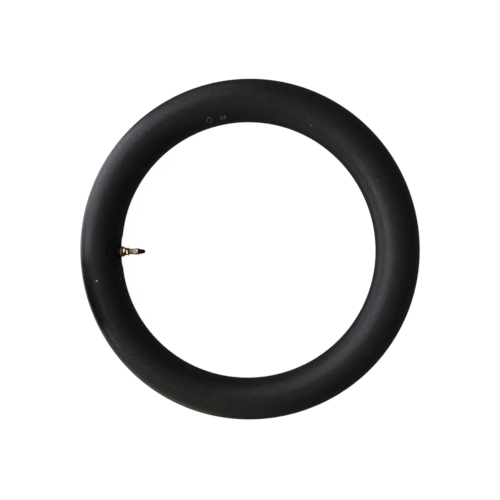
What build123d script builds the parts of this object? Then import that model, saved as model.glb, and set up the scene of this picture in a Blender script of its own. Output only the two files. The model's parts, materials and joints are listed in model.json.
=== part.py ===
from build123d import *
from math import cos, radians, tan
import os

# Inflated bicycle inner tube with a clamped-in English (Woods) valve.
# Millimetres. The ring lies flat: its axis is +Z and the origin is its centre.
# The valve is on the -X side and points along +X, towards the ring's centre.

# Tube
RIM_SEAT_DIAMETER = 406.0
SECTION_DIAMETER = 62.0
SECTION_RADIUS = SECTION_DIAMETER / 2
RING_RADIUS = RIM_SEAT_DIAMETER / 2 + SECTION_RADIUS
TUBE_WALL = 1.0

# Cuts and columns at the valve start at this height, well inside the air space
AIR_SPACE = SECTION_RADIUS / 2

# Gaps
GLUE_GAP = 0.05
THREAD_GAP = 0.05
SLIP_GAP = 0.03
REST_GAP = 0.02

# The valve's turned parts are drawn as (radius, height) outlines around the
# valve's axis. A height is measured from the centre of the tube's section.

# Rubber patch and the raised boss that the stem passes through
PATCH_LENGTH = 62.0
PATCH_WIDTH = 44.0
PATCH_THICKNESS = 1.4
BOSS_RADIUS = 9.3
BOSS_SHOULDER = 35.1

# Clamp washer, a dome with a flat crown and its hollow side on the boss
WASHER_RADIUS = 8.5
WASHER_RIM = 35.4
WASHER_CROWN_RADIUS = 6.3
WASHER_CROWN = 38.1
WASHER_BULGE = 0.55
WASHER_THICKNESS = 1.1

# Stem
STEM_RADIUS = 4.0
STEM_TOP = 61.0
STEM_HEAD_RADIUS = 7.5
STEM_HEAD_BOTTOM = 28.2
STEM_BORE_RADIUS = 2.8
STEM_BORE_BOTTOM = 35.0
STEM_PORT_RADIUS = 1.5
STEM_CHAMFER = 0.4
NOTCH_WIDTH = 1.3
NOTCH_DEPTH = 1.1

# Hexagon nuts
CLAMP_NUT_ACROSS_FLATS = 12.0
CLAMP_NUT_BOTTOM = WASHER_CROWN + WASHER_THICKNESS + GLUE_GAP
CLAMP_NUT_HEIGHT = 3.0
CLAMP_NUT_TURN = -20.0
RIM_NUT_ACROSS_FLATS = 11.0
RIM_NUT_BOTTOM = 44.3
RIM_NUT_HEIGHT = 2.7
RIM_NUT_TURN = 8.0
HALF_FLAT_ANGLE = 30.0
NUT_CHAMFER_ANGLE = 30.0
NUT_BORE_RADIUS = STEM_RADIUS + THREAD_GAP

# Valve plug
FLANGE_RADIUS = 3.85
FLANGE_THICKNESS = 1.3
NECK_RADIUS = 2.6
NECK_TOP = 68.2
NECK_CHAMFER = 0.5
SHANK_RADIUS = 1.7
SHANK_CONE_RADIUS = 2.05
SHANK_CONE_LENGTH = 3.0
SHANK_BOTTOM = 42.5
SHANK_TIP_RADIUS = 1.2
AIRWAY_RADIUS = 0.9
SIDE_HOLE_RADIUS = 0.6
SIDE_HOLE_HEIGHT = 46.0

# Rubber sleeve on the plug's shank
SLEEVE_WALL = 0.65
SLEEVE_BOTTOM = 43.5

# Collar nut
COLLAR_BOTTOM = 50.4
COLLAR_THREAD_BOTTOM = 54.8
COLLAR_TOP = 64.0
COLLAR_RADIUS = 5.2
COLLAR_SKIRT_RADIUS = 4.6
COLLAR_SKIRT_BORE_RADIUS = 4.15
COLLAR_SHOULDER = 56.4
COLLAR_BAND_BOTTOM = 61.4
COLLAR_BAND_CHAMFER = 0.7
KNURL_COUNT = 30
KNURL_RADIUS = 0.32
KNURL_DEPTH = 0.21

# Dust cap
CAP_BOTTOM = 64.35
CAP_TOP = 73.8
CAP_BASE_RADIUS = 4.1
CAP_SHOULDER_RADIUS = 3.9
CAP_SHOULDER = 67.7
CAP_NOSE_RADIUS = 3.1
CAP_NOSE = 71.5
CAP_BORE_TOP = NECK_TOP + 0.2
CAP_ROOF = 69.6
CAP_ROOF_RADIUS = 1.4
CAP_GROOVE_COUNT = 16
CAP_GROOVE_RADIUS = 0.28
CAP_GROOVE_DEPTH = 0.19
CAP_GROOVE_TOP = 68.6

VALVE_FRAME = Plane(origin=(-RING_RADIUS, 0, 0), x_dir=(0, 1, 0), z_dir=(1, 0, 0))


def revolved(*edges):
    """Revolve a closed chain of edges, drawn as radius and height, around the Z axis."""
    return revolve(Plane.XZ * make_face(list(edges)), axis=Axis.Z)


def turned(*outline):
    """Revolve a closed outline of (radius, height) points around the Z axis."""
    return revolved(Polyline(*outline, close=True))


def rod(radius, bottom, top):
    """A plain cylinder on the Z axis between two heights."""
    return Pos(0, 0, bottom) * Cylinder(
        radius, top - bottom, align=(Align.CENTER, Align.CENTER, Align.MIN)
    )


def section_ring(radius):
    """A solid ring with the tube's centre line and the given section radius."""
    return Torus(RING_RADIUS, radius)


def on_valve(shape):
    """Move a shape drawn around the Z axis onto the valve's axis."""
    return VALVE_FRAME * shape


def ring_in_valve_frame(radius):
    """The same ring as the valve's drawing frame sees it."""
    return VALVE_FRAME.location.inverse() * section_ring(radius)


def tube_body():
    """Butyl skin with the hole that the stem passes through."""
    hole = rod(STEM_RADIUS + THREAD_GAP, AIR_SPACE, BOSS_SHOULDER)
    skin = section_ring(SECTION_RADIUS) - section_ring(SECTION_RADIUS - TUBE_WALL)
    return skin - on_valve(hole)


def washer_side(lift=0.0):
    """Edges of the washer's hollow side, from its rim in to the stem, raised by lift."""
    rim = (WASHER_RADIUS, WASHER_RIM + lift)
    crown = (WASHER_CROWN_RADIUS, WASHER_CROWN + lift)
    dome = SagittaArc(rim, crown, -WASHER_BULGE)
    return dome, Line(crown, (NUT_BORE_RADIUS, WASHER_CROWN + lift))


def valve_patch():
    """Oval patch that follows the tube, with a boss that fills the washer's hollow."""
    footprint = Ellipse(PATCH_LENGTH / 2, PATCH_WIDTH / 2)
    column = Pos(0, 0, AIR_SPACE) * extrude(footprint, amount=BOSS_SHOULDER - AIR_SPACE)
    pad = column & ring_in_valve_frame(SECTION_RADIUS + GLUE_GAP + PATCH_THICKNESS)
    dome, seat = washer_side(-GLUE_GAP)
    side = Polyline(
        seat @ 1,
        (NUT_BORE_RADIUS, SECTION_RADIUS - PATCH_THICKNESS),
        (BOSS_RADIUS, SECTION_RADIUS - PATCH_THICKNESS),
        (WASHER_RADIUS + GLUE_GAP, BOSS_SHOULDER),
        dome @ 0,
    )
    boss = revolved(dome, seat, side)
    hole = rod(NUT_BORE_RADIUS, AIR_SPACE, WASHER_CROWN)
    inside = ring_in_valve_frame(SECTION_RADIUS + GLUE_GAP)
    return on_valve(pad + boss - inside - hole)


def valve_stem():
    """Brass stem: a head dished to the inside of the tube, a bore and a notched mouth."""
    head = rod(STEM_HEAD_RADIUS, STEM_HEAD_BOTTOM, SECTION_RADIUS)
    head &= ring_in_valve_frame(SECTION_RADIUS - TUBE_WALL - GLUE_GAP)
    shaft = turned(
        (0, STEM_HEAD_BOTTOM),
        (STEM_RADIUS, STEM_HEAD_BOTTOM),
        (STEM_RADIUS, STEM_TOP - STEM_CHAMFER),
        (STEM_RADIUS - STEM_CHAMFER, STEM_TOP),
        (0, STEM_TOP),
    )
    bore = rod(STEM_BORE_RADIUS, STEM_BORE_BOTTOM, STEM_TOP)
    port = rod(STEM_PORT_RADIUS, STEM_HEAD_BOTTOM, STEM_BORE_BOTTOM)
    notches = Pos(0, 0, STEM_TOP - NOTCH_DEPTH / 2) * Box(
        2 * STEM_RADIUS, NOTCH_WIDTH, NOTCH_DEPTH
    )
    return on_valve(head + shaft - bore - port - notches)


def clamp_washer():
    """Domed washer that spreads the clamp nut's load over the boss."""
    dome, seat = washer_side()
    outer_dome, outer_seat = washer_side(WASHER_THICKNESS)
    rim = Line(dome @ 0, outer_dome @ 0)
    hole = Line(seat @ 1, outer_seat @ 1)
    return on_valve(revolved(dome, seat, hole, outer_seat, outer_dome, rim))


def hexagon_nut(across_flats, bottom, height, turn):
    """Plain hexagon nut with its corners chamfered on both faces."""
    flat_radius = across_flats / 2
    corner_radius = flat_radius / cos(radians(HALF_FLAT_ANGLE))
    drop = (corner_radius - flat_radius) * tan(radians(NUT_CHAMFER_ANGLE))
    prism = extrude(
        RegularPolygon(flat_radius, 6, major_radius=False, rotation=turn), amount=height
    )
    cone = turned(
        (NUT_BORE_RADIUS, 0),
        (flat_radius, 0),
        (corner_radius, drop),
        (corner_radius, height - drop),
        (flat_radius, height),
        (NUT_BORE_RADIUS, height),
    )
    return on_valve(Pos(0, 0, bottom) * (prism & cone))


def clamp_nut():
    """Nut that holds the stem in the tube."""
    return hexagon_nut(
        CLAMP_NUT_ACROSS_FLATS, CLAMP_NUT_BOTTOM, CLAMP_NUT_HEIGHT, CLAMP_NUT_TURN
    )


def rim_nut():
    """Nut that holds the stem in the rim's valve hole."""
    return hexagon_nut(RIM_NUT_ACROSS_FLATS, RIM_NUT_BOTTOM, RIM_NUT_HEIGHT, RIM_NUT_TURN)


def shank_outline(grow=0.0):
    """Side of the plug's shank, from its flange down, made larger by grow."""
    flange_bottom = STEM_TOP + REST_GAP
    return [
        (SHANK_CONE_RADIUS + grow, flange_bottom),
        (SHANK_RADIUS + grow, flange_bottom - SHANK_CONE_LENGTH),
    ]


def valve_plug():
    """Brass insert: a shank with a side hole, a flange with two nibs and a threaded neck."""
    flange_bottom = STEM_TOP + REST_GAP
    flange_top = flange_bottom + FLANGE_THICKNESS
    body = turned(
        (0, SHANK_BOTTOM),
        (SHANK_TIP_RADIUS, SHANK_BOTTOM),
        (SHANK_RADIUS, SHANK_BOTTOM + SHANK_RADIUS - SHANK_TIP_RADIUS),
        *reversed(shank_outline()),
        (FLANGE_RADIUS, flange_bottom),
        (FLANGE_RADIUS, flange_top),
        (NECK_RADIUS, flange_top),
        (NECK_RADIUS, NECK_TOP - NECK_CHAMFER),
        (NECK_RADIUS - NECK_CHAMFER, NECK_TOP),
        (0, NECK_TOP),
    )
    nib_length = FLANGE_RADIUS - STEM_BORE_RADIUS - SLIP_GAP
    nib_height = NOTCH_DEPTH - THREAD_GAP
    nib = Box(nib_length, NOTCH_WIDTH - 2 * THREAD_GAP, nib_height)
    nib_middle = FLANGE_RADIUS - nib_length / 2
    nib_centre = flange_bottom - nib_height / 2 + REST_GAP
    for side in (-1, 1):
        body += Pos(side * nib_middle, 0, nib_centre) * nib
    airway = rod(AIRWAY_RADIUS, SIDE_HOLE_HEIGHT, NECK_TOP)
    side_hole = Pos(0, 0, SIDE_HOLE_HEIGHT) * Rot(0, 90, 0) * Cylinder(
        SIDE_HOLE_RADIUS, 2 * SHANK_RADIUS
    )
    return on_valve(body - airway - side_hole)


def valve_rubber():
    """Rubber sleeve that covers the side hole and lets air pass one way."""
    inside = shank_outline(SLIP_GAP)
    outside = shank_outline(SLIP_GAP + SLEEVE_WALL)
    return on_valve(
        turned(
            (SHANK_RADIUS + SLIP_GAP, SLEEVE_BOTTOM),
            inside[1],
            (inside[0][0], inside[0][1] - REST_GAP),
            (outside[0][0], outside[0][1] - REST_GAP),
            outside[1],
            (SHANK_RADIUS + SLIP_GAP + SLEEVE_WALL, SLEEVE_BOTTOM),
        )
    )


def collar_nut():
    """Knurled union nut with a thin skirt; its lip holds the plug's flange on the stem."""
    lip_bottom = STEM_TOP + FLANGE_THICKNESS + 2 * REST_GAP
    body = turned(
        (COLLAR_SKIRT_BORE_RADIUS, COLLAR_BOTTOM),
        (COLLAR_SKIRT_RADIUS, COLLAR_BOTTOM),
        (COLLAR_SKIRT_RADIUS, COLLAR_THREAD_BOTTOM),
        (COLLAR_RADIUS, COLLAR_SHOULDER),
        (COLLAR_RADIUS, COLLAR_TOP - COLLAR_BAND_CHAMFER),
        (COLLAR_RADIUS - COLLAR_BAND_CHAMFER, COLLAR_TOP),
        (NECK_RADIUS + THREAD_GAP, COLLAR_TOP),
        (NECK_RADIUS + THREAD_GAP, lip_bottom),
        (NUT_BORE_RADIUS, lip_bottom),
        (NUT_BORE_RADIUS, COLLAR_THREAD_BOTTOM),
        (COLLAR_SKIRT_BORE_RADIUS, COLLAR_THREAD_BOTTOM),
    )
    groove = rod(KNURL_RADIUS, COLLAR_THREAD_BOTTOM, COLLAR_BAND_BOTTOM)
    groove = Pos(COLLAR_RADIUS + KNURL_RADIUS - KNURL_DEPTH, 0, 0) * groove
    for i in range(KNURL_COUNT):
        body -= Rot(0, 0, 360 * i / KNURL_COUNT) * groove
    return on_valve(body)


def dust_cap():
    """Black plastic cap: a bullet shape with grip grooves, hollow over the neck."""
    side = Polyline(
        (0, CAP_BOTTOM), (CAP_BASE_RADIUS, CAP_BOTTOM), (CAP_SHOULDER_RADIUS, CAP_SHOULDER)
    )
    cheek = Line((CAP_SHOULDER_RADIUS, CAP_SHOULDER), (CAP_NOSE_RADIUS, CAP_NOSE))
    nose = Spline(
        (CAP_NOSE_RADIUS, CAP_NOSE),
        (0, CAP_TOP),
        tangents=[(CAP_NOSE_RADIUS - CAP_SHOULDER_RADIUS, CAP_NOSE - CAP_SHOULDER), (-1, 0)],
    )
    axis = Line((0, CAP_TOP), (0, CAP_BOTTOM))
    body = revolved(side, cheek, nose, axis)
    hollow = turned(
        (0, CAP_BOTTOM),
        (NECK_RADIUS + THREAD_GAP, CAP_BOTTOM),
        (NECK_RADIUS + THREAD_GAP, CAP_BORE_TOP),
        (CAP_ROOF_RADIUS, CAP_ROOF),
        (0, CAP_ROOF),
    )
    body -= hollow
    groove = rod(CAP_GROOVE_RADIUS, CAP_BOTTOM, CAP_GROOVE_TOP)
    groove = Pos(CAP_BASE_RADIUS + CAP_GROOVE_RADIUS - CAP_GROOVE_DEPTH, 0, 0) * groove
    for i in range(CAP_GROOVE_COUNT):
        body -= Rot(0, 0, 360 * i / CAP_GROOVE_COUNT) * groove
    return on_valve(body)


PARTS = [
    tube_body,
    valve_patch,
    valve_stem,
    clamp_washer,
    clamp_nut,
    rim_nut,
    valve_plug,
    valve_rubber,
    collar_nut,
    dust_cap,
]

os.makedirs("parts", exist_ok=True)
for build in PARTS:
    export_step(build(), f"parts/{build.__name__}.step")
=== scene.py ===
import json
import math

import bmesh
import bpy
import numpy as np
from mathutils import Matrix, Vector


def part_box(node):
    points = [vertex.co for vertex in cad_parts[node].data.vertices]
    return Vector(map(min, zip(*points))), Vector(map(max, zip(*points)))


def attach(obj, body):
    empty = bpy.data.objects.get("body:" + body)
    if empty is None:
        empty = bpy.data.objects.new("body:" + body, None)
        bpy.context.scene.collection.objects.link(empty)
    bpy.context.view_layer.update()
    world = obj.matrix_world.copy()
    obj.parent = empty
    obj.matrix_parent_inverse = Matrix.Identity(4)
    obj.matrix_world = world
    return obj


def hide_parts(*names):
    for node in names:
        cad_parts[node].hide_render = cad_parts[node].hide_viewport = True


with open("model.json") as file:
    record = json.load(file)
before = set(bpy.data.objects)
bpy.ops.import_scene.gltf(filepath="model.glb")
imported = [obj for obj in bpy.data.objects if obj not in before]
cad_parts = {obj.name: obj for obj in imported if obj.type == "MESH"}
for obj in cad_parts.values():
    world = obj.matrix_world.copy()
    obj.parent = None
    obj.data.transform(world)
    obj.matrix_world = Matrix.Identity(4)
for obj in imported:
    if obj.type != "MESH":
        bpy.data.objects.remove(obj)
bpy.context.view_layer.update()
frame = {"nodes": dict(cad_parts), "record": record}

# ---------------------------------------------------------------- sizes

MM = 0.001
TURN = 2 * math.pi

mounts = {mount["name"]: mount for mount in frame["record"]["mounts"]}
INNER_RADIUS = mounts["rim_bed"]["dims"]["r_mm"] * MM
OUTER_RADIUS = mounts["tyre_cavity"]["dims"]["r_mm"] * MM
STEM_RADIUS = mounts["rim_valve_hole"]["dims"]["r_mm"] * MM
NECK_RADIUS = mounts["pump_connection"]["dims"]["r_mm"] * MM
RING_RADIUS = (INNER_RADIUS + OUTER_RADIUS) / 2
SECTION_RADIUS = (OUTER_RADIUS - INNER_RADIUS) / 2
VALVE_ANGLE = math.pi

# Skin of the tube
SKIN_COLUMNS = 720
SKIN_ROWS = 92
SAG = 0.4 * MM
FLOOR_LEVEL = -SECTION_RADIUS + SAG
SEAM_HEIGHT = 0.22 * MM
SEAM_WIDTH = 0.55 * MM

# How far its centre line strays from a circle: (lobes, height, angle of a crest)
LOBES = ((2, 0.44 * MM, 0.85), (3, 0.33 * MM, 1.80), (4, 0.15 * MM, 1.05))

# How much fatter its section is on one side than on the other, and which side
SWELL = 0.3 * MM
SWELL_ANGLE = 1.4

# The stiff patch at the valve stretches less than the skin round it
BULGE = 1.1 * MM
BULGE_WIDTH = 0.26
PULL_DEPTH = 2.5 * MM
PULL_START = 0.93
PULL_END = 1.09
PATCH_THICKNESS = 1.3 * MM
PATCH_TAPER = 0.13
PATCH_UNDER = -0.6 * MM

# Washer and the rubber boss under it
WASHER_CROWN_RADIUS = 6.3 * MM
WASHER_THICKNESS = 1.1 * MM
WASHER_BULGE = 0.55 * MM
WASHER_SEAT_GAP = 0.1 * MM
BOSS_STEEPNESS = 6.0
BOSS_REACH = 14 * MM
BOSS_BLEND = 0.5 * MM

# Raised marks on the upper inner side
MARK_ACROSS = 2.62
MARK_ANGLE = 1.812
MARK_SPACING = 0.102
MARK_HALF_LENGTH = 4.6 * MM
MARK_HALF_HEIGHT = 5.4 * MM
MARK_STRIP = 1.5 * MM
MARK_RELIEF = 0.35 * MM

# Specks of talc below the valve: angle round the ring, angle round the section, radius, whiteness
SPECKS = ((3.336, 1.70, 1.7 * MM, 0.85), (3.357, 2.94, 1.5 * MM, 0.5))

# Threads
STEM_PITCH = 0.794 * MM
STEM_THREAD_DEPTH = 0.42 * MM
NECK_PITCH = 1.06 * MM
NECK_THREAD_DEPTH = 0.35 * MM
ROWS_PER_PITCH = 10
STEM_HOLE_RADIUS = STEM_RADIUS + 0.05 * MM
NECK_HOLE_RADIUS = NECK_RADIUS + 0.05 * MM

# Stem: its head inside the tube, its bore and the port at the bore's end
STEM_HEAD_RADIUS = 7.5 * MM
STEM_HEAD_THICKNESS = 1.5 * MM
STEM_BORE_RADIUS = 2.8 * MM
STEM_BORE_START = 6.8 * MM
STEM_PORT_RADIUS = 1.5 * MM

# Hexagon nuts: across the flats, and turned by so many degrees
CLAMP_NUT_ACROSS = 12 * MM
CLAMP_NUT_TURN = -20
RIM_NUT_ACROSS = 11 * MM
RIM_NUT_TURN = 8

# Collar nut, measured down from its top
COLLAR_BAND = 2.8 * MM
COLLAR_LIP = 1.66 * MM
COLLAR_SHOULDER = 7.6 * MM
COLLAR_THREAD = 9.2 * MM
COLLAR_CHAMFER = 0.7 * MM
SKIRT_RADIUS = 4.6 * MM
SKIRT_HOLE_RADIUS = 4.15 * MM
KNURL_COUNT = 30
KNURL_DEPTH = 0.28 * MM

# Valve plug
FLANGE_RADIUS = 3.85 * MM
FLANGE_THICKNESS = 1.3 * MM
SHANK_RADIUS = 1.7 * MM
SHANK_CONE_RADIUS = 2.05 * MM
SHANK_CONE_LENGTH = 3.0 * MM
AIRWAY_RADIUS = 0.9 * MM
AIRWAY_START = 4.0 * MM

# Dust cap
CAP_ROOF = 4.2 * MM
CAP_ROOF_RADIUS = 1.4 * MM
CAP_SHOULDER = 3.35 * MM
CAP_TAPER = 0.2 * MM
CAP_NOSE_RADIUS = 3.1 * MM
CAP_NOSE_LENGTH = 2.3 * MM
CAP_RIB_COUNT = 16
CAP_RIB_DEPTH = 0.22 * MM
CAP_RIB_TOP = 4.3 * MM

# Camera: its place and target in ring radii, the lens in millimetres, the roll in degrees
CAMERA_PLACE = (0.2319, 0.0537, 2.3)
CAMERA_TARGET = (0.0415, 0.0068, 0.0)
CAMERA_LENS = 24.71
CAMERA_ROLL = 0.35

# Studio, with lamps as (name, azimuth, elevation, (wide, high), watts, tint)
FLOOR_HALF_WIDTH = 4.0
FLOOR_GLOW = 0.985
FLOOR_GREY = 0.12
FILL_STRENGTH = 0.085
LAMP_DISTANCE = 1.4
LILAC = (1.0, 0.94, 1.07)
WARM = (1.0, 1.0, 0.78)
LAMPS = (
    ("window", 150, 15, (0.95, 1.0), 7.8, LILAC),
    ("window_end", 110, 20, (0.6, 0.9), 1.05, LILAC),
    ("window_edge", 193, 27, (0.75, 0.5), 4.8, LILAC),
    ("window_top", 145, 50, (1.2, 0.5), 3.2, LILAC),
    ("table_glow", 175, -25, (1.7, 0.5), 5.0, LILAC),
    ("room_low", 235, -12, (1.0, 0.5), 1.1, WARM),
    ("room", 245, 25, (1.5, 0.6), 0.9, WARM),
    ("room_high", 235, 55, (1.0, 0.6), 0.45, WARM),
    ("ceiling_lamp", 213, 60, (0.2, 0.2), 0.35, WARM),
    ("ceiling", 0, 90, (1.2, 1.2), 0.6, WARM),
)

# Black card beside the valve
FLAG_AZIMUTH = 195
FLAG_HALF_TURN = 13
FLAG_DISTANCE = 0.355
FLAG_TOP = 0.165


def heights(node):
    """Lowest and highest place of a CAD node along the valve, from the section's centre."""
    low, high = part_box(node)
    return low.x + RING_RADIUS, high.x + RING_RADIUS


def half_width(node):
    """Half the sideways extent of a CAD node on the valve."""
    low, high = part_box(node)
    return (high.y - low.y) / 2


PATCH_HALF_LENGTH = half_width("valve_patch")
PATCH_HALF_WIDTH = SECTION_RADIUS * math.asin(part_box("valve_patch")[1].z / SECTION_RADIUS)

# ---------------------------------------------------------------- mesh tools


def smooth_step(value):
    """Ease from 0 to 1 as value goes from 0 to 1."""
    value = np.clip(value, 0, 1)
    return value * value * (3 - 2 * value)


def nearest_turn(angle):
    """The same angle between minus half a turn and half a turn."""
    return (np.asarray(angle) + math.pi) % TURN - math.pi


def shade_by_angle(mesh, limit_degrees=32):
    """Smooth shading with sharp edges where two faces meet at more than the limit."""
    work = bmesh.new()
    work.from_mesh(mesh)
    bmesh.ops.remove_doubles(work, verts=work.verts, dist=1e-8)
    bmesh.ops.recalc_face_normals(work, faces=work.faces)
    limit = math.radians(limit_degrees)
    for face in work.faces:
        face.smooth = True
    for edge in work.edges:
        edge.smooth = edge.calc_face_angle(0) < limit
    work.to_mesh(mesh)
    work.free()


def grid_piece(name, points, material, body, close_rows=True):
    """A closed piece from a grid of points whose columns, and rows if asked, run right round."""
    rows, columns, _ = points.shape
    here = np.arange(rows * columns).reshape(rows, columns)
    beside = np.roll(here, -1, axis=1)
    quads = np.stack([here, beside, np.roll(beside, -1, axis=0), np.roll(here, -1, axis=0)], axis=-1)
    if not close_rows:
        quads = quads[:-1]
    mesh = bpy.data.meshes.new(name)
    mesh.from_pydata(points.reshape(-1, 3).tolist(), [], quads.reshape(-1, 4).tolist())
    shade_by_angle(mesh)
    mesh.materials.append(material)
    piece = bpy.data.objects.new(name, mesh)
    bpy.context.scene.collection.objects.link(piece)
    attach(piece, body)
    return piece


def rounded(outline, radius, closed=True, steps=4):
    """An outline with each corner eased by a small curve of about the given radius."""
    result = []
    count = len(outline)
    for i, corner in enumerate(outline):
        if not closed and i in (0, count - 1):
            result.append(corner)
            continue
        corner = np.array(corner, float)
        before = np.array(outline[i - 1], float) - corner
        after = np.array(outline[(i + 1) % count], float) - corner
        start = corner + before * min(0.45, radius / np.linalg.norm(before))
        end = corner + after * min(0.45, radius / np.linalg.norm(after))
        for t in np.linspace(0, 1, steps):
            result.append(tuple((1 - t) ** 2 * start + 2 * t * (1 - t) * corner + t * t * end))
    return result


def fine_rows(outline, low, high, spacing, radius):
    """The outline with extra points on its straight run at radius between two heights."""
    result = []
    for start, end in zip(outline, outline[1:] + outline[:1]):
        result.append(start)
        at_radius = abs(start[0] - radius) < 1e-6 and abs(end[0] - radius) < 1e-6
        if at_radius and min(start[1], end[1]) < high and max(start[1], end[1]) > low:
            count = max(2, round(abs(end[1] - start[1]) / spacing))
            result += [(radius, start[1] + (end[1] - start[1]) * k / count) for k in range(1, count)]
    return result


def evenly_filled(outline, spacing):
    """The outline with extra points wherever its height changes by more than the spacing."""
    result = []
    for start, end in zip(outline, outline[1:]):
        count = max(1, round(abs(end[1] - start[1]) / spacing))
        for share in np.arange(count) / count:
            result.append(tuple(a + (b - a) * share for a, b in zip(start, end)))
    return result + [outline[-1]]


def turned_piece(name, outline, material, body, rule=None, segments=96, close_rows=True):
    """Turn an outline of (radius, height) points round the valve's axis.

    rule(radius, height, angle) may change each ring's radius, for threads, flats and ribs.
    """
    radius = np.array([p[0] for p in outline])[:, None]
    height = np.array([p[1] for p in outline])[:, None]
    angle = np.arange(segments)[None, :] * TURN / segments
    ring = radius + 0 * angle
    if rule:
        ring = rule(radius, height, angle)
    points = np.stack(
        [-RING_RADIUS + height + 0 * ring, ring * np.cos(angle), ring * np.sin(angle)], axis=-1
    )
    return grid_piece(name, points, material, body, close_rows)


def screw_rule(crest, depth, pitch, low, high):
    """A right-handed thread cut into the rings of crest radius between two heights."""

    def rule(radius, height, angle):
        inside = np.abs(radius - crest) < 1e-6
        fade = smooth_step(np.minimum(height - low, high - height) / (0.8 * pitch))
        wave = 0.5 - 0.5 * np.cos(TURN * (height / pitch - angle / TURN))
        return radius - inside * fade * depth * wave**1.2

    return rule


def hexagon_rule(apothem, turn, low, high, edge=0.12 * MM):
    """Six flats on the outer rings, with the corners chamfered at both faces."""
    slant = math.radians(30)
    corner = apothem / math.cos(slant) - edge

    def rule(radius, height, angle):
        outer = radius > apothem - 1e-6
        sector = (angle - turn) % (TURN / 6) - TURN / 12
        side = np.minimum(apothem / np.cos(sector), corner)
        chamfer = apothem + np.minimum(height - low, high - height) / math.tan(slant)
        return np.where(outer, np.minimum(side, np.maximum(chamfer, apothem)), radius)

    return rule


# ---------------------------------------------------------------- material tools


class Paint:
    """A node material with a Principled shader, and short calls that add nodes to it."""

    def __init__(self, name):
        self.material = bpy.data.materials.new(name)
        self.material.use_nodes = True
        self.nodes = self.material.node_tree.nodes
        self.links = self.material.node_tree.links
        self.shader = self.nodes["Principled BSDF"]

    def add(self, kind, inputs=None, **settings):
        """One node; its inputs may be numbers, colours or other nodes' outputs."""
        node = self.nodes.new(kind)
        for key, value in settings.items():
            setattr(node, key, value)
        for key, value in (inputs or {}).items():
            self.feed(node.inputs[key], value)
        return node

    def feed(self, socket, value):
        """Link another node's output to an input, or set the input to a plain value."""
        if isinstance(value, bpy.types.NodeSocket):
            self.links.new(value, socket)
        else:
            socket.default_value = value

    def place(self):
        """Place on the piece in the row frame, in metres."""
        return self.add("ShaderNodeTexCoord").outputs["Object"]

    def away_from(self, place, *axes):
        """Distance of a place from the axis that is square to the two named ones."""
        parts = self.add("ShaderNodeSeparateXYZ", {0: place}).outputs
        across = self.add("ShaderNodeCombineXYZ", {axis: parts[axis] for axis in axes}).outputs[0]
        return self.add("ShaderNodeVectorMath", {0: across}, operation="LENGTH").outputs["Value"]

    def math(self, operation, a, b=0.0, c=0.0):
        return self.add("ShaderNodeMath", {0: a, 1: b, 2: c}, operation=operation).outputs[0]

    def noise(self, vector, scale, detail=3.0, rough=0.55):
        inputs = {"Vector": vector, "Scale": scale, "Detail": detail, "Roughness": rough}
        return self.add("ShaderNodeTexNoise", inputs).outputs["Fac"]

    def between(self, value, low, high, out_low=0.0, out_high=1.0):
        """Map value from low..high to out_low..out_high, held at the ends."""
        inputs = {"Value": value, 1: low, 2: high, 3: out_low, 4: out_high}
        return self.add("ShaderNodeMapRange", inputs).outputs["Result"]

    def mix(self, factor, a, b):
        node = self.add("ShaderNodeMix", {0: factor, 6: a, 7: b}, data_type="RGBA")
        return node.outputs[2]

    def bump(self, height, distance, strength=1.0, below=None):
        inputs = {"Height": height, "Distance": distance, "Strength": strength}
        if below is not None:
            inputs["Normal"] = below
        return self.add("ShaderNodeBump", inputs).outputs["Normal"]

    def finish(self, colour, roughness, normal=None, metallic=0.0, ior=1.5):
        self.feed(self.shader.inputs["Base Color"], colour)
        self.feed(self.shader.inputs["Roughness"], roughness)
        self.feed(self.shader.inputs["Metallic"], metallic)
        self.feed(self.shader.inputs["IOR"], ior)
        if normal is not None:
            self.feed(self.shader.inputs["Normal"], normal)
        return self.material


def grey(level, tint=(1.0, 1.0, 1.0)):
    """A colour with alpha from a grey level and a tint."""
    return (level * tint[0], level * tint[1], level * tint[2], 1.0)


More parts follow.
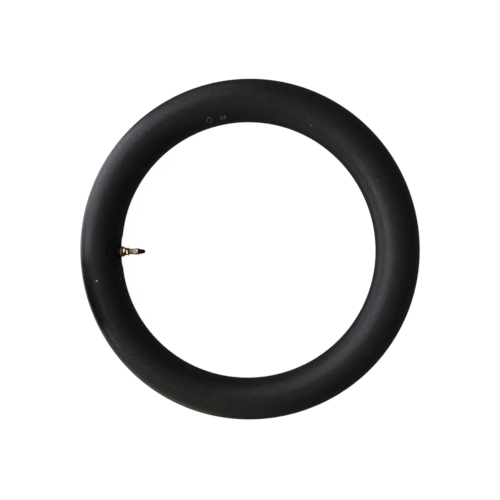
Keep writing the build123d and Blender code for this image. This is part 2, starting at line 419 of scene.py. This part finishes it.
def butyl_material():
    """Satin black butyl: fine grain, faint lines round the ring, scuffs and specks of talc."""
    paint = Paint("satin_butyl")
    place = paint.place()
    axes = paint.add("ShaderNodeSeparateXYZ", {0: place}).outputs
    from_axis = paint.away_from(place, "X", "Y")
    drift = paint.math("MULTIPLY", axes["X"], 0.03)
    section = paint.add(
        "ShaderNodeCombineXYZ", {"X": from_axis, "Y": axes["Z"], "Z": drift}
    ).outputs[0]
    lines = paint.noise(section, 900.0, 4.0, 0.6)
    bands = paint.noise(section, 110.0, 2.0)
    cloud = paint.noise(place, 14.0, 5.0, 0.6)
    grain = paint.noise(place, 2600.0, 2.0)
    pebble = paint.noise(place, 420.0, 3.0, 0.6)
    talc = paint.between(paint.noise(place, 38.0, 6.0, 0.7), 0.52, 0.8)
    dark = paint.mix(cloud, grey(0.009, (1.0, 0.98, 1.03)), grey(0.017, (1.0, 0.99, 0.97)))
    colour = paint.mix(paint.math("MULTIPLY", talc, 0.35), dark, grey(0.045, (1.0, 1.0, 1.02)))
    cells = paint.add("ShaderNodeTexVoronoi", {"Vector": place, "Scale": 48.0})
    chance = paint.add("ShaderNodeSeparateColor", {0: cells.outputs["Color"]}).outputs[0]
    chosen = paint.between(chance, 0.91, 0.99)
    near = paint.between(cells.outputs["Distance"], 0.02, 0.04, 1.0, 0.0)
    colour = paint.mix(paint.math("MULTIPLY", chosen, near), colour, grey(0.85))
    ragged = paint.noise(place, 620.0, 3.0, 0.7)
    for around, across, radius, whiteness in SPECKS:
        centre = tuple(skin(around, across))
        away = paint.add("ShaderNodeVectorMath", {0: place, 1: centre}, operation="DISTANCE")
        edge = paint.math("MULTIPLY_ADD", ragged, 1.8 * radius, away.outputs["Value"])
        speck = paint.between(edge, 1.5 * radius, 1.8 * radius, 1.0, 0.0)
        colour = paint.mix(speck, colour, grey(whiteness))
    scuff = paint.noise(place, 330.0, 3.0, 0.65)
    paint.feed(paint.shader.inputs["Specular IOR Level"], paint.between(scuff, 0.3, 0.7, 0.34, 0.66))
    roughness = paint.math(
        "ADD", paint.between(bands, 0.3, 0.7, 0.34, 0.40), paint.math("MULTIPLY", cloud, 0.08)
    )
    relief = paint.bump(lines, 0.00006, 0.5)
    relief = paint.bump(bands, 0.0004, 0.25, relief)
    relief = paint.bump(pebble, 0.00026, 0.7, relief)
    relief = paint.bump(grain, 0.00004, 0.6, relief)
    return paint.finish(colour, roughness, relief, ior=1.48)


def patch_material():
    """Buffed rubber of the patch, duller than the tube, and dullest on the boss."""
    paint = Paint("buffed_patch_rubber")
    place = paint.place()
    cloud = paint.noise(place, 90.0, 5.0, 0.65)
    scratches = paint.noise(place, 1500.0, 3.0, 0.7)
    colour = paint.mix(cloud, grey(0.008), grey(0.016, (1.0, 0.99, 0.97)))
    relief = paint.bump(scratches, 0.00008, 0.7)
    sheen = paint.between(paint.away_from(place, "Y", "Z"), 10 * MM, 13 * MM, 0.12, 0.5)
    paint.feed(paint.shader.inputs["Specular IOR Level"], sheen)
    return paint.finish(colour, paint.between(cloud, 0.3, 0.7, 0.42, 0.5), relief, ior=1.42)


def mark_material():
    """Raised moulding marks, rubbed pale on top."""
    paint = Paint("rubbed_mark")
    place = paint.place()
    cloud = paint.noise(place, 700.0, 4.0, 0.6)
    colour = paint.mix(cloud, grey(0.10), grey(0.20, (1.0, 0.99, 0.97)))
    relief = paint.bump(cloud, 0.00006, 0.6)
    return paint.finish(colour, paint.between(cloud, 0.3, 0.7, 0.5, 0.65), relief)


def sleeve_material():
    """Reddish-brown latex of the hidden sleeve."""
    paint = Paint("latex_sleeve")
    place = paint.place()
    cloud = paint.noise(place, 420.0, 4.0)
    colour = paint.mix(cloud, grey(1.0, (0.22, 0.06, 0.03)), grey(1.0, (0.36, 0.12, 0.06)))
    relief = paint.bump(paint.noise(place, 2400.0), 0.00004, 0.6)
    return paint.finish(colour, 0.62, relief)


def metal_material(name, clean, tarnish_and_shade_colour, smooth, dull, shaded_grooves=None, patina=1.0):
    """Turned brass or plating: lathe lines round the valve, and clouds and specks where it is
    tarnished.

    shaded_grooves gives the radii of a groove's floor and crest: the floor gets painted shade, dark and
    dull.
    patina is how strong the clouds and specks are.
    """
    paint = Paint(name)
    place = paint.place()
    axes = paint.add("ShaderNodeSeparateXYZ", {0: place}).outputs
    from_axis = paint.away_from(place, "Y", "Z")
    lathe = paint.add("ShaderNodeCombineXYZ", {"X": axes["X"], "Y": from_axis}).outputs[0]
    lines = paint.noise(lathe, 9000.0, 2.0)
    cloud = paint.noise(place, 260.0, 5.0, 0.65)
    specks = paint.between(paint.noise(place, 1900.0, 3.0), 0.6, 0.72, 0.0, 0.6 * patina)
    tarnish_and_groove_shade = paint.math("MAXIMUM", paint.between(cloud, 0.42, 0.72, 0.0, patina), specks)
    if shaded_grooves:
        # painted shade: the metal is darkened and dulled on each groove's floor, standing in for the
        # shade in the grooves
        tarnish_and_groove_shade = paint.math("MAXIMUM", tarnish_and_groove_shade, paint.between(from_axis, *shaded_grooves, 1.0, 0.0))
    colour = paint.mix(tarnish_and_groove_shade, grey(1.0, clean), grey(1.0, tarnish_and_shade_colour))
    roughness = paint.between(tarnish_and_groove_shade, 0.0, 1.0, smooth, dull)
    relief = paint.bump(lines, 0.00003, 0.6)
    relief = paint.bump(cloud, 0.00004, 0.4, relief)
    return paint.finish(colour, roughness, relief, metallic=1.0)


def cap_material():
    """Moulded black plastic with a soft sheen and fine sparks of wear."""
    paint = Paint("cap_plastic")
    place = paint.place()
    cloud = paint.noise(place, 300.0, 4.0)
    wear = paint.between(paint.noise(place, 1500.0, 4.0, 0.7), 0.62, 0.8)
    colour = paint.mix(wear, grey(0.004, (1.0, 0.8, 0.6)), grey(0.015, (1.0, 0.9, 0.8)))
    relief = paint.bump(paint.noise(place, 3000.0, 2.0), 0.00003, 0.6)
    return paint.finish(colour, paint.between(cloud, 0.3, 0.7, 0.42, 0.55), relief, ior=1.3)


# ---------------------------------------------------------------- the rubber ring


def pull(around, across):
    """How far the patch holds the skin back at a place on it."""
    along = nearest_turn(around - VALVE_ANGLE) * INNER_RADIUS / PATCH_HALF_LENGTH
    over = nearest_turn(across - math.pi) * SECTION_RADIUS / PATCH_HALF_WIDTH
    distance = np.sqrt(along**2 + over**2)
    return PULL_DEPTH * (1 - smooth_step((distance - PULL_START) / (PULL_END - PULL_START)))


def skin(around, across, lift=0.0):
    """A place on the tube's skin, lifted off it by a distance.

    around is the angle round the ring; across is the angle round the section, 0 outermost.
    """
    bulge = BULGE * np.exp(-((nearest_turn(around - VALVE_ANGLE) / BULGE_WIDTH) ** 2))
    centre = RING_RADIUS - bulge / 2
    for lobes, height, crest in LOBES:
        centre = centre + height * np.cos(lobes * (around - crest))
    seam = np.exp(-((np.sin(across) * SECTION_RADIUS / SEAM_WIDTH) ** 2))
    radius = SECTION_RADIUS + SWELL * np.cos(around - SWELL_ANGLE) + SEAM_HEIGHT * seam
    radius = radius + bulge / 2 - pull(around, across) + lift
    out = centre + radius * np.cos(across)
    up = radius * np.sin(across)
    up = np.where(up < FLOOR_LEVEL, FLOOR_LEVEL + (up - FLOOR_LEVEL) * 0.1, up)
    return np.stack([out * np.cos(around), out * np.sin(around), up], axis=-1)


def section_angles():
    """Angles round the section, closer together at the two mould seams."""
    even = np.arange(SKIN_ROWS) * TURN / SKIN_ROWS
    near = np.array([0.0, 0.25, 0.5, 0.8, 1.2]) * MM / SECTION_RADIUS
    near = np.concatenate([near, -near[1:]])
    seams = np.concatenate([near % TURN, near + math.pi])
    kept = [a for a in even if np.min(np.abs(nearest_turn(a - seams))) > 0.5 * MM / SECTION_RADIUS]
    return np.unique(np.concatenate([kept, seams]))


def make_tube(material):
    """The tube's closed skin, with a finer mesh at its seams."""
    around = np.arange(SKIN_COLUMNS)[None, :] * TURN / SKIN_COLUMNS
    across = section_angles()[:, None]
    piece = grid_piece(
        "tube_skin", skin(around + 0 * across, across + 0 * around), material, "tube"
    )
    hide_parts("tube_body")


def washer_dome(lift=0.0):
    """(radius, height) points along the washer's hollow side, from its rim to its crown."""
    low, high = heights("clamp_washer")
    rim = np.array([half_width("clamp_washer"), low + lift])
    crown = np.array([WASHER_CROWN_RADIUS, high - WASHER_THICKNESS + lift])
    outward = np.array([crown[1] - rim[1], rim[0] - crown[0]]) / np.linalg.norm(crown - rim)
    share = np.linspace(0, 1, 9)[:, None]
    bow = WASHER_BULGE * 4 * share * (1 - share)
    return rim + (crown - rim) * share + outward * bow


def boss_height(distance):
    """Height of the patch's boss at a distance from the valve's axis."""
    dome = washer_dome()[::-1]
    slope = np.interp(distance, dome[:, 0], dome[:, 1])
    skirt = dome[-1, 1] - (distance - dome[-1, 0]) * BOSS_STEEPNESS
    return np.minimum(slope, skirt) - WASHER_SEAT_GAP


def make_patch(material):
    """Oval patch on the skin, thinning to its edge, with the boss under the washer."""
    segments = 144
    turn = np.arange(segments)[None, :] * TURN / segments
    boss_rows, pad_rows, edge_rows = (0, 0.3, 26), (0.33, 0.86, 14), (0.88, 1.0, 9)
    rows = [np.linspace(*part) for part in (boss_rows, pad_rows, edge_rows)]
    share = np.concatenate(rows)[:, None]
    hole = STEM_HOLE_RADIUS
    along = np.cos(turn) * (hole + (PATCH_HALF_LENGTH - hole) * share)
    over = np.sin(turn) * (hole + (PATCH_HALF_WIDTH - hole) * share)
    around = VALVE_ANGLE - along / INNER_RADIUS
    across = math.pi - over / SECTION_RADIUS
    thickness = PATCH_THICKNESS * smooth_step((1.0 - share) / PATCH_TAPER) ** 0.7
    top = skin(around, across, thickness + 0.02 * MM)
    distance = np.hypot(top[..., 1], top[..., 2])
    boss = boss_height(distance) - RING_RADIUS
    lifted = np.logaddexp(top[..., 0] / BOSS_BLEND, boss / BOSS_BLEND) * BOSS_BLEND
    raised = np.maximum(lifted, top[..., 0])
    top[..., 0] = np.where(distance < BOSS_REACH, raised, top[..., 0])
    under = skin(around[::-6], across[::-6], PATCH_UNDER)
    piece = grid_piece(
        "valve_patch_pad", np.concatenate([top, under]), material, "tube"
    )
    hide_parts("valve_patch")


def make_mark(name, outline, place_around, material):
    """A raised closed strip on the skin along an outline of (along, over) points."""
    along, over = np.array(outline).T
    before, after = np.roll(outline, 1, axis=0), np.roll(outline, -1, axis=0)
    ahead = after - before
    side = np.stack([-ahead[:, 1], ahead[:, 0]]) / np.linalg.norm(ahead, axis=1)
    offsets = np.array([-0.5, -0.3, 0.0, 0.3, 0.5, 0.0])[:, None] * MARK_STRIP
    lifts = np.array([-0.3, 0.8, 1.0, 0.8, -0.3, -0.6])[:, None] * MARK_RELIEF
    around = place_around - (along + offsets * side[0]) / (RING_RADIUS - SECTION_RADIUS)
    across = MARK_ACROSS - (over + offsets * side[1]) / SECTION_RADIUS
    grid_piece(name, skin(around, across, lifts + 0 * along), material, "tube")


def closed_outline(corners, steps=6):
    """Points along the straight sides between corners, all the way round."""
    points = []
    for start, end in zip(corners, corners[1:] + corners[:1]):
        for share in np.arange(steps) / steps:
            points.append(np.array(start) * (1 - share) + np.array(end) * share)
    return np.array(points)


def make_marks(material):
    """Plain moulded shapes: a rhombus frame and, beside it, two small triangles."""
    wide, high = MARK_HALF_LENGTH, MARK_HALF_HEIGHT
    rhombus = [(-wide, 0), (0, -high), (wide, 0), (0, high)]
    make_mark("mark_rhombus", closed_outline(rhombus), MARK_ANGLE, material)
    for i, shift in enumerate((-0.55, 0.55)):
        small = [(shift * wide - 0.4 * wide, -0.6 * high), (shift * wide + 0.4 * wide, -0.6 * high)]
        small.append((shift * wide, 0.6 * high))
        place = MARK_ANGLE - MARK_SPACING
        make_mark(f"mark_triangle_{i + 1}", closed_outline(small), place, material)


# ---------------------------------------------------------------- the valve


def make_stem(material):
    """Stem with its head inside the tube and a real thread up to its mouth."""
    low, high = heights("valve_stem")
    head_top, bore_low = low + STEM_HEAD_THICKNESS, low + STEM_BORE_START
    nut_top = heights("clamp_nut")[1]
    thread_low, thread_high = nut_top - 4 * MM, high - 0.3 * MM
    outline = rounded(
        [
            (STEM_PORT_RADIUS, low),
            (STEM_HEAD_RADIUS, low),
            (STEM_HEAD_RADIUS, head_top),
            (STEM_RADIUS, head_top),
            (STEM_RADIUS, high),
            (STEM_BORE_RADIUS, high),
            (STEM_BORE_RADIUS, bore_low),
            (STEM_PORT_RADIUS, bore_low),
        ],
        0.35 * MM,
    )
    outline = fine_rows(outline, nut_top, high, STEM_PITCH / ROWS_PER_PITCH, STEM_RADIUS)
    rule = screw_rule(STEM_RADIUS, STEM_THREAD_DEPTH, STEM_PITCH, thread_low, thread_high)
    piece = turned_piece("valve_stem_thread", outline, material, "tube", rule, 72)
    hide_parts("valve_stem")


def make_washer(material):
    """Domed washer with a rounded rim."""
    under, over = washer_dome(), washer_dome(WASHER_THICKNESS)
    crown = under[-1, 1]
    outline = [tuple(point) for point in under]
    outline += [(STEM_HOLE_RADIUS, crown), (STEM_HOLE_RADIUS, crown + WASHER_THICKNESS)]
    outline += [tuple(point) for point in over[::-1]]
    piece = turned_piece(
        "clamp_washer_dome", rounded(outline, 0.3 * MM), material, "tube"
    )
    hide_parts("clamp_washer")


def make_hexagon_nut(node, across_flats, turn_degrees, material, body):
    """Plain hexagon nut with chamfered corners and a countersunk hole."""
    low, high = heights(node)
    apothem = across_flats / 2
    rule = hexagon_rule(apothem, math.radians(turn_degrees), low, high)
    rows = low + (high - low) * (0.5 - 0.5 * np.cos(np.linspace(0, math.pi, 21)))
    flats = [(apothem, height) for height in rows]
    hole, lead = STEM_HOLE_RADIUS, 0.4 * MM
    inside = [(hole + lead, high), (hole, high - lead), (hole, low + lead), (hole + lead, low)]
    piece = turned_piece(f"{node}_hexagon", inside + flats, material, body, rule, 120)
    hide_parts(node)


def make_collar_nut(material):
    """Union nut: thin skirt, knurled body and a plain band under a rounded lip."""
    low, high = heights("collar_nut")
    radius = half_width("collar_nut")
    lip, thread_low = high - COLLAR_LIP, high - COLLAR_THREAD
    knurl_low, knurl_high = thread_low + 0.6 * MM, high - COLLAR_BAND
    outside = rounded(
        [
            (SKIRT_HOLE_RADIUS, low),
            (SKIRT_RADIUS, low),
            (SKIRT_RADIUS, thread_low),
            (radius, high - COLLAR_SHOULDER),
            (radius, high - COLLAR_CHAMFER),
            (radius - COLLAR_CHAMFER, high),
            (NECK_HOLE_RADIUS, high),
            (NECK_HOLE_RADIUS, lip),
            (STEM_HOLE_RADIUS, lip),
            (STEM_HOLE_RADIUS, thread_low),
            (SKIRT_HOLE_RADIUS, thread_low),
        ],
        0.2 * MM,
    )
    outline = fine_rows(outside, low, high, 0.25 * MM, radius)
    waist_height, waist_width, waist_depth = knurl_high + 0.25 * MM, 0.22 * MM, 0.22 * MM

    def rule(ring, height, angle):
        outer = ring > SKIRT_RADIUS + 0.1 * MM
        rise = np.minimum(height - knurl_low, knurl_high - height)
        fade = smooth_step(rise / (0.5 * MM))
        groove = (0.5 + 0.5 * np.cos(KNURL_COUNT * angle)) ** 2
        waist = waist_depth * np.exp(-(((height - waist_height) / waist_width) ** 2))
        return ring - outer * (fade * KNURL_DEPTH * groove + waist)

    piece = turned_piece(
        "collar_nut_knurled",
        outline,
        material,
        "collar_nut",
        rule,
        segments=KNURL_COUNT * 8,
    )
    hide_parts("collar_nut")


def make_plug(material):
    """Plug: shank, flange under the collar nut's lip and the threaded pump neck."""
    low, high = heights("valve_plug")
    flange_low = heights("valve_stem")[1] + 0.02 * MM
    flange_high = flange_low + FLANGE_THICKNESS
    tip = 0.5 * MM
    outline = rounded(
        [
            (0.0, low),
            (SHANK_RADIUS - tip, low),
            (SHANK_RADIUS, low + tip),
            (SHANK_RADIUS, flange_low - SHANK_CONE_LENGTH),
            (SHANK_CONE_RADIUS, flange_low),
            (FLANGE_RADIUS, flange_low),
            (FLANGE_RADIUS, flange_high),
            (NECK_RADIUS, flange_high),
            (NECK_RADIUS, high - 0.3 * MM),
            (NECK_RADIUS - tip, high),
            (AIRWAY_RADIUS, high),
            (AIRWAY_RADIUS, low + AIRWAY_START),
            (0.0, low + AIRWAY_START),
        ],
        0.15 * MM,
        closed=False,
    )
    outline = fine_rows(outline, flange_high, high, NECK_PITCH / ROWS_PER_PITCH, NECK_RADIUS)
    rule = screw_rule(NECK_RADIUS, NECK_THREAD_DEPTH, NECK_PITCH, flange_high + 0.8 * MM, high)
    piece = turned_piece(
        "valve_plug_neck", outline, material, "plug", rule, 72, close_rows=False
    )
    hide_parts("valve_plug")


def make_cap(material):
    """Bullet-shaped dust cap with grip ribs, hollow over the neck."""
    low, high = heights("dust_cap")
    base, roof = half_width("dust_cap"), high - CAP_ROOF
    side = rounded(
        [
            (0.0, roof),
            (CAP_ROOF_RADIUS, roof),
            (NECK_HOLE_RADIUS, roof - 1.2 * MM),
            (NECK_HOLE_RADIUS, low),
            (base, low),
            (base - CAP_TAPER, low + CAP_SHOULDER),
            (CAP_NOSE_RADIUS, high - CAP_NOSE_LENGTH),
        ],
        0.25 * MM,
        closed=False,
    )
    nose = [
        (CAP_NOSE_RADIUS * math.cos(t), high - CAP_NOSE_LENGTH * (1 - math.sin(t)))
        for t in np.linspace(0.12, math.pi / 2, 12)
    ]
    nose[-1] = (0.0, high)
    outline = evenly_filled(side + nose, 0.35 * MM)
    rib_top = low + CAP_RIB_TOP

    def rule(ring, height, angle):
        outer = ring > NECK_HOLE_RADIUS + 0.2 * MM
        fade_out = smooth_step((rib_top - height) / (1.0 * MM))
        fade_in = smooth_step((height - low + 0.1 * MM) / (0.3 * MM))
        groove = (0.5 + 0.5 * np.cos(CAP_RIB_COUNT * angle)) ** 3
        return ring - outer * fade_out * fade_in * CAP_RIB_DEPTH * groove

    piece = turned_piece(
        "dust_cap_moulded",
        outline,
        material,
        "dust_cap",
        rule,
        segments=CAP_RIB_COUNT * 10,
        close_rows=False,
    )
    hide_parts("dust_cap")


def make_valve():
    """All pieces of the valve, each in its own metal, and the sleeve's latex."""
    # groove radii of the stem's thread and the collar's knurl: their floors get painted shade
    thread = (STEM_RADIUS - STEM_THREAD_DEPTH, STEM_RADIUS)
    knurl = (half_width("collar_nut") - KNURL_DEPTH, half_width("collar_nut") - 0.05 * MM)
    brass = metal_material("stem_brass", (0.62, 0.50, 0.28), (0.26, 0.2, 0.1), 0.42, 0.55, thread)
    bronze = metal_material("washer_bronze", (0.36, 0.25, 0.17), (0.24, 0.165, 0.11), 0.5, 0.62)
    bright = metal_material("clamp_nut_brass", (0.86, 0.70, 0.51), (0.5, 0.36, 0.24), 0.26, 0.4)
    plated = metal_material("rim_nut_plate", (0.97, 0.93, 0.78), (0.8, 0.72, 0.55), 0.2, 0.3)
    satin = metal_material("collar_brass", (0.96, 0.83, 0.64), (0.42, 0.34, 0.2), 0.44, 0.5, knurl, 0.4)
    plug = metal_material("plug_brass", (0.66, 0.52, 0.3), (0.4, 0.3, 0.16), 0.25, 0.42)
    make_stem(brass)
    make_washer(bronze)
    make_hexagon_nut("clamp_nut", CLAMP_NUT_ACROSS, CLAMP_NUT_TURN, bright, "tube")
    make_hexagon_nut("rim_nut", RIM_NUT_ACROSS, RIM_NUT_TURN, plated, "rim_nut")
    make_plug(plug)
    make_collar_nut(satin)
    make_cap(cap_material())
    sleeve = frame["nodes"]["valve_rubber"]
    sleeve.data.materials.clear()
    sleeve.data.materials.append(sleeve_material())


# ---------------------------------------------------------------- stage


def make_floor():
    """Pale floor that only the camera sees, so it throws no light back on the rubber."""
    half = FLOOR_HALF_WIDTH
    corners = ((-half, -half), (half, -half), (half, half), (-half, half))
    mesh = bpy.data.meshes.new("floor")
    mesh.from_pydata([(x, y, FLOOR_LEVEL) for x, y in corners], [], [(0, 1, 2, 3)])
    floor = bpy.data.objects.new("floor", mesh)
    bpy.context.scene.collection.objects.link(floor)
    material = bpy.data.materials.new("pale_floor")
    material.use_nodes = True
    nodes, links = material.node_tree.nodes, material.node_tree.links
    nodes.clear()
    glow = nodes.new("ShaderNodeEmission")
    glow.inputs["Strength"].default_value = FLOOR_GLOW
    paint = nodes.new("ShaderNodeBsdfDiffuse")
    paint.inputs["Color"].default_value = grey(FLOOR_GREY)
    seen = nodes.new("ShaderNodeAddShader")
    links.new(glow.outputs[0], seen.inputs[0])
    links.new(paint.outputs[0], seen.inputs[1])
    output = nodes.new("ShaderNodeOutputMaterial")
    links.new(seen.outputs[0], output.inputs["Surface"])
    mesh.materials.append(material)
    floor.visible_diffuse = False
    floor.visible_glossy = False
    floor.visible_shadow = False


def make_world():
    """White background for the camera, and a dim even fill for everything else."""
    world = bpy.data.worlds.new("studio")
    world.use_nodes = True
    nodes, links = world.node_tree.nodes, world.node_tree.links
    nodes.clear()
    white = nodes.new("ShaderNodeBackground")
    white.inputs["Color"].default_value = grey(1.0)
    fill = nodes.new("ShaderNodeBackground")
    fill.inputs["Color"].default_value = grey(1.0, (1.0, 1.0, 0.95))
    fill.inputs["Strength"].default_value = FILL_STRENGTH
    path = nodes.new("ShaderNodeLightPath")
    mix = nodes.new("ShaderNodeMixShader")
    links.new(path.outputs["Is Camera Ray"], mix.inputs[0])
    links.new(fill.outputs[0], mix.inputs[1])
    links.new(white.outputs[0], mix.inputs[2])
    output = nodes.new("ShaderNodeOutputWorld")
    links.new(mix.outputs[0], output.inputs["Surface"])
    bpy.context.scene.world = world


def from_angles(azimuth, elevation, distance):
    """A place at a distance from the ring's centre, from two angles in degrees."""
    flat = distance * math.cos(math.radians(elevation))
    height = distance * math.sin(math.radians(elevation))
    around = math.radians(azimuth)
    return Vector((flat * math.cos(around), flat * math.sin(around), height))


def make_softbox(name, azimuth, elevation, size, power, tint):
    """A rectangular lamp (wide, high) facing the ring's centre."""
    light = bpy.data.lights.new(name, "AREA")
    light.shape = "RECTANGLE"
    light.size, light.size_y = size
    light.energy = power
    light.color = tint
    lamp = bpy.data.objects.new(name, light)
    lamp.location = from_angles(azimuth, elevation, LAMP_DISTANCE)
    lamp.rotation_euler = (-lamp.location).to_track_quat("-Z", "Y").to_euler()
    bpy.context.scene.collection.objects.link(lamp)


def make_flag():
    """Black card, unseen by the camera, that shades the ring's outer side next to the valve."""
    sides = [FLAG_AZIMUTH - FLAG_HALF_TURN, FLAG_AZIMUTH + FLAG_HALF_TURN]
    corners = [from_angles(azimuth, 0, FLAG_DISTANCE) for azimuth in sides]
    points = [(p.x, p.y, z) for z in (-SECTION_RADIUS, FLAG_TOP) for p in corners]
    mesh = bpy.data.meshes.new("flag")
    mesh.from_pydata(points, [], [(0, 1, 3, 2)])
    paint = Paint("flag_black")
    paint.feed(paint.shader.inputs["Specular IOR Level"], 0.0)
    mesh.materials.append(paint.finish(grey(0.01), 1.0))
    flag = bpy.data.objects.new("flag", mesh)
    bpy.context.scene.collection.objects.link(flag)
    flag.visible_camera = False


def make_camera():
    """Camera above the ring, a little to its +X side, with the valve on its left."""
    data = bpy.data.cameras.new("camera")
    data.lens = CAMERA_LENS
    data.sensor_width = 36.0
    camera = bpy.data.objects.new("camera", data)
    place = Vector(CAMERA_PLACE) * RING_RADIUS
    target = Vector(CAMERA_TARGET) * RING_RADIUS
    roll = math.radians(CAMERA_ROLL)
    ahead = (target - place).normalized()
    right = ahead.cross(Vector((math.sin(roll), math.cos(roll), 0))).normalized()
    up = right.cross(ahead)
    turn = Matrix((right, up, -ahead)).transposed().to_4x4()
    camera.matrix_world = Matrix.Translation(place) @ turn
    data.clip_start = 0.01
    bpy.context.scene.collection.objects.link(camera)
    bpy.context.scene.camera = camera


def make_stage():
    """Floor, background, lamps, black card and camera."""
    make_floor()
    make_world()
    for lamp in LAMPS:
        make_softbox(*lamp)
    make_flag()
    make_camera()
    scene = bpy.context.scene
    scene.view_settings.view_transform = "Standard"
    scene.cycles.use_denoising = True


make_tube(butyl_material())
make_patch(patch_material())
make_marks(mark_material())
make_valve()
make_stage()

bpy.context.view_layer.update()
